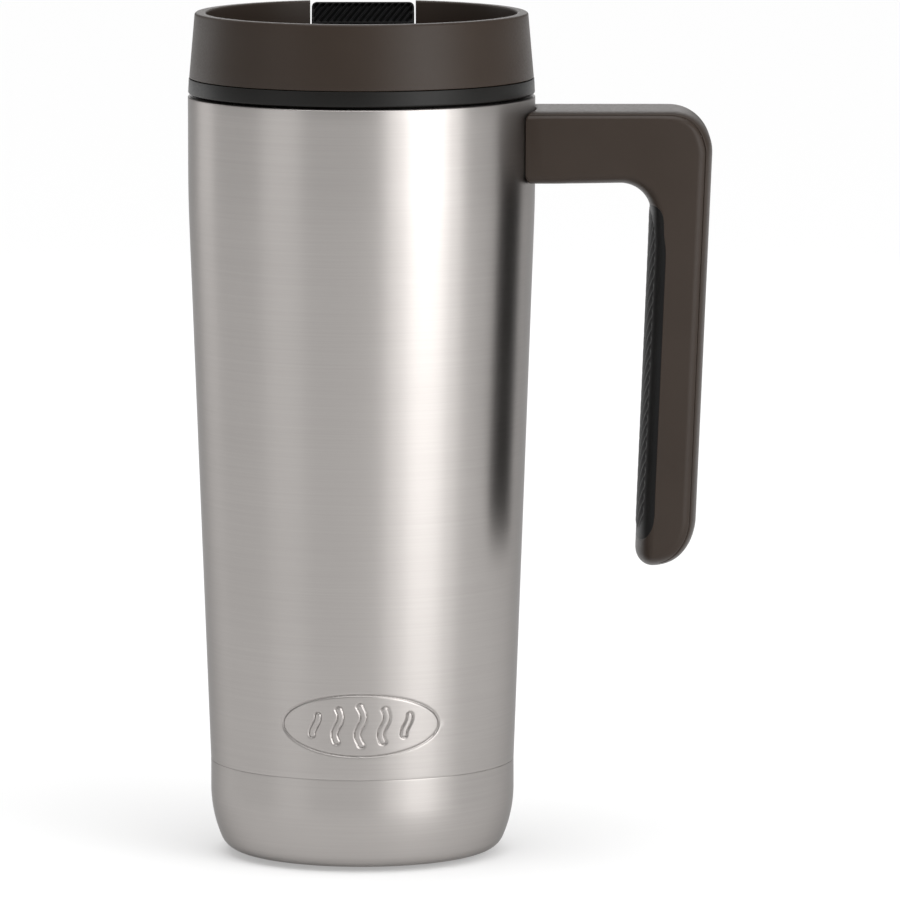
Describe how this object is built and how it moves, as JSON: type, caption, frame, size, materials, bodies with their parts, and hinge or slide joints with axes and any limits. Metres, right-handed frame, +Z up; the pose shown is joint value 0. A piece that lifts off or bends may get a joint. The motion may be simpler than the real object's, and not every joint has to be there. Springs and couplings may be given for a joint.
{
  "type": "insulated travel mug",
  "caption": "Vacuum-walled steel travel mug with a tapered brushed body, screw-in lid, rocking drink lever and a J-shaped side handle with a rubber grip.",
  "frame": {"origin": "centre of the base on the plane that the mug stands on", "axes": "+Z up along the mug's axis, +X towards the handle, -Y towards the drinker"},
  "size_m": [0.1267, 0.084, 0.2049],
  "materials": {
    "brushed_steel": "horizontally brushed stainless steel, satin",
    "plain_steel": "plain drawn stainless steel",
    "brown_plastic": "fine-grained dark brown moulded plastic",
    "black_plastic": "fine-grained black moulded plastic",
    "black_rubber": "black rubber with slanted ribs",
    "silicone": "grey food-grade silicone"
  },
  "bodies": {
    "mug": {"outer_shell": "brushed_steel", "base_cup": "brushed_steel", "base_disc": "plain_steel", "vacuum_seal": "plain_steel", "getter": "plain_steel", "inner_liner": "plain_steel", "handle_bracket": "plain_steel", "handle_body": "brown_plastic", "handle_cover": "brown_plastic", "handle_grip": "black_rubber", "handle_screw_1": "plain_steel", "handle_screw_2": "plain_steel"},
    "lid_seal": {"lid_gasket": "silicone"},
    "lid": {"lid_body": "black_plastic", "lid_ring": "brown_plastic", "lid_base_plate": "black_plastic", "lever_pin": "plain_steel"},
    "drink_lever": {"lever": "black_plastic", "thumb_pad": "black_rubber", "drink_stopper": "silicone", "vent_stopper": "silicone"}
  },
  "joints": [
    {"name": "lid_rise", "type": "slide", "parent": "mug", "child": "lid_seal", "axis": [0, 0, 1], "range_m": [0, 0.006]},
    {"name": "lid_turn", "type": "hinge", "parent": "lid_seal", "child": "lid", "pos_m": [0, 0, 0.18], "axis": [0, 0, 1], "range_deg": [0, 270]},
    {"name": "lever_rock", "type": "hinge", "parent": "lid", "child": "drink_lever", "pos_m": [0, 0.004, 0.1974], "axis": [-1, 0, 0], "range_deg": [0, 12]}
  ],
  "couplings": [
    {"joint": "lid_rise", "follows": "lid_turn", "m_per_rad": 0.001273}
  ]
}
